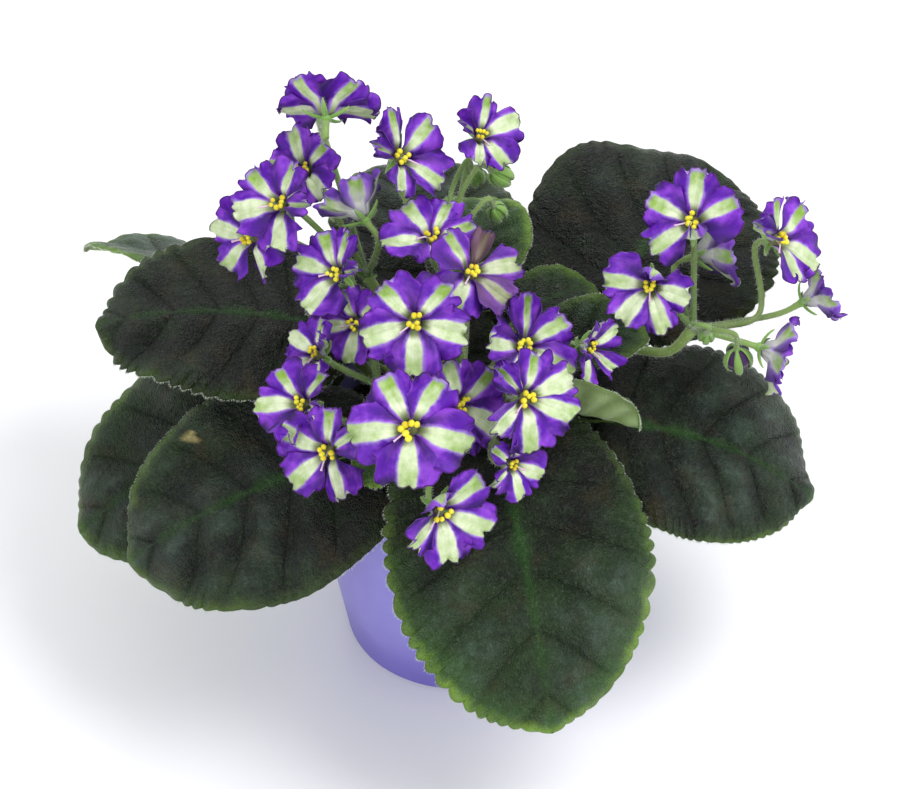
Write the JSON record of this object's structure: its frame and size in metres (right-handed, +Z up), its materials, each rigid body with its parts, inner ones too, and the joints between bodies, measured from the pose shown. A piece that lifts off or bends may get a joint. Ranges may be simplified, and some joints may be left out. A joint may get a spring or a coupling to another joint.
{
  "type": "potted african violet",
  "caption": "Potted African violet in bloom: striped two-tone flowers over a rosette of dark scalloped leaves, in a small tapered plastic pot.",
  "frame": {"origin": "centre of the pot's flat foot, on the surface the pot stands on", "axes": "+Z up along the pot's axis; -Y is the front of the plant, where the biggest leaf hangs over the pot's rim; +X to the right seen from the front"},
  "size_m": [0.2441, 0.1995, 0.1874],
  "materials": {
    "pot_plastic": "satin",
    "potting_soil": "rough",
    "leaf": "velvety",
    "stem": "downy",
    "petal": "matte"
  },
  "bodies": {
    "root": {"pot": "pot_plastic", "soil": "potting_soil", "crown": "leaf", "leaf_front": "leaf", "leaf_front_left": "leaf", "leaf_left_low": "leaf", "leaf_left_high": "leaf", "leaf_far_left": "leaf", "leaf_right": "leaf", "leaf_right_low": "leaf", "leaf_back_right": "leaf", "leaf_back_right_low": "leaf", "leaf_back": "leaf", "leaf_back_left": "leaf", "leaf_back_middle": "leaf", "leaf_young_back": "leaf", "leaf_young_right": "leaf", "leaf_young_left": "leaf", "leaf_young_front": "leaf", "leaf_curled": "leaf", "stalk_back_left": "stem", "bloom_back_left_1": "petal", "bloom_back_left_2": "petal", "bloom_back_left_3": "petal", "bloom_back_left_4": "petal", "bloom_back_left_5": "petal", "stalk_left": "stem", "bloom_left_1": "petal", "bloom_left_2": "petal", "bloom_left_3": "petal", "bloom_left_4": "petal", "bloom_left_5": "petal", "stalk_top": "stem", "bloom_top_1": "petal", "bloom_top_2": "petal", "bloom_top_3": "petal", "bloom_top_4": "petal", "stalk_front": "stem", "bloom_front_1": "petal", "bloom_front_2": "petal", "bloom_front_3": "petal", "bloom_front_4": "petal", "stalk_inner_right": "stem", "bloom_inner_right_1": "petal", "bloom_inner_right_2": "petal", "bloom_inner_right_3": "petal", "bloom_inner_right_4": "petal", "stalk_right": "stem", "bloom_right_1": "petal", "bloom_right_2": "petal", "bloom_right_3": "petal", "bloom_right_4": "petal", "bloom_right_5": "petal", "bloom_right_6": "petal"}
  },
  "joints": []
}
